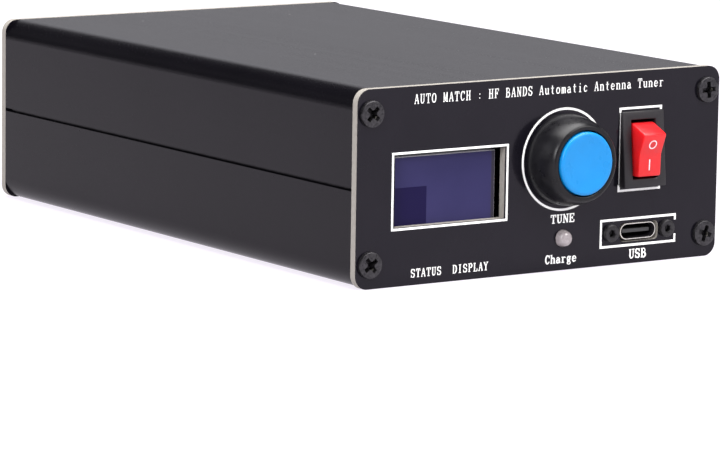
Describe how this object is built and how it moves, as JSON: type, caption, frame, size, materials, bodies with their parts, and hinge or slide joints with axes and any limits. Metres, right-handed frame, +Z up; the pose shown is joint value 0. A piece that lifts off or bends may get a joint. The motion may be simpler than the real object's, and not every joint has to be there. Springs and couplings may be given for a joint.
{
  "type": "antenna tuner",
  "caption": "Automatic radio antenna tuner in a split black metal case, with a display window, a round push button, a rocker power switch and a charging socket in front.",
  "frame": {"origin": "middle of the flat underside of the case", "axes": "+X to the right seen from the front, +Y from the front panel to the rear panel, +Z up"},
  "size_m": [0.088, 0.16, 0.0387],
  "materials": {
    "case_anodised": "black anodised, satin",
    "panel_mask": "black masked glass-fibre board, semi-matt",
    "screw_black": "black zinc plated, satin",
    "bezel_black": "moulded black, satin",
    "cap_blue": "moulded blue, semi-gloss",
    "switch_black": "moulded black, satin",
    "rocker_red": "moulded red, semi-gloss",
    "spring_steel": "bright",
    "plated_steel": "nickel plated",
    "socket_nickel": "nickel plated, bright",
    "contact_brass": "plain",
    "insulator_white": "white",
    "insulator_brown": "brown laminate",
    "display_violet": "dark violet display glass",
    "lamp_clear": "milky lens",
    "board_dark": "masked circuit board",
    "chip_black": "moulded black",
    "relay_blue": "moulded blue",
    "core_red": "painted iron powder",
    "core_grey": "ferrite",
    "winding_copper": "enamelled copper",
    "tinned_wire": "tinned",
    "capacitor_tan": "dipped",
    "can_sleeve": "sleeved can",
    "cell_foil": "foil pouch",
    "wire_red": "insulated wire"
  },
  "bodies": {
    "case": {"air_coils": "winding_copper", "antenna_socket_body": "socket_nickel", "antenna_socket_contact": "contact_brass", "antenna_socket_insulator": "insulator_white", "battery_cell": "cell_foil", "battery_pad": "insulator_white", "board_headers": "chip_black", "bypass_relay": "relay_blue", "capacitor_relays": "relay_blue", "charge_lamp": "lamp_clear", "charge_lamp_leads": "tinned_wire", "charger_board": "board_dark", "charger_components": "chip_black", "coil_cores": "core_red", "coil_relays": "relay_blue", "coil_windings": "winding_copper", "controller": "chip_black", "controller_socket": "chip_black", "display_board": "board_dark", "display_foam_strips": "insulator_white", "display_glass": "display_violet", "display_header": "chip_black", "display_wires": "wire_red", "electrolytic_capacitors": "can_sleeve", "front_panel": "panel_mask", "front_panel_screws": "screw_black", "lower_shell": "case_anodised", "main_board": "board_dark", "power_wires": "wire_red", "radio_links": "tinned_wire", "rear_panel": "panel_mask", "rear_panel_screws": "screw_black", "socket_nuts": "plated_steel", "socket_screws": "plated_steel", "switch_frame": "switch_black", "switch_terminals": "contact_brass", "transceiver_socket_body": "socket_nickel", "transceiver_socket_contact": "contact_brass", "transceiver_socket_insulator": "insulator_white", "transformer_cores": "core_grey", "transformer_windings": "winding_copper", "tune_bezel": "bezel_black", "tune_insulator": "insulator_brown", "tune_nut": "bezel_black", "tune_terminals": "contact_brass", "tune_washer": "spring_steel", "tune_wires": "wire_red", "tuning_capacitors": "capacitor_tan", "upper_shell": "case_anodised", "usb_housing": "switch_black", "usb_screws": "screw_black", "usb_shell": "plated_steel", "usb_tongue": "switch_black", "voltage_regulator": "chip_black"},
    "tune_button": {"tune_cap": "cap_blue", "tune_bridge_contact": "contact_brass", "tune_spring": "spring_steel"},
    "power_rocker": {"power_rocker": "rocker_red", "switch_plunger": "insulator_white"},
    "switch_contact": {"switch_contact": "contact_brass"}
  },
  "joints": [
    {"name": "tune_press", "type": "slide", "parent": "case", "child": "tune_button", "axis": [0, 1, 0], "range_m": [0, 0.002], "stiffness_N_per_m": 900, "springref_m": -0.0015, "deforming": ["tune_spring"]},
    {"name": "power_tilt", "type": "hinge", "parent": "case", "child": "power_rocker", "pos_m": [0.02435, -0.0676, 0.0231], "axis": [1, 0, 0], "range_deg": [-23, 0]},
    {"name": "contact_rock", "type": "hinge", "parent": "case", "child": "switch_contact", "pos_m": [0.02435, -0.0602, 0.0231], "axis": [1, 0, 0], "range_deg": [0, 16]}
  ],
  "couplings": [
    {"joint": "contact_rock", "follows": "power_tilt", "ratio": -0.69565}
  ]
}
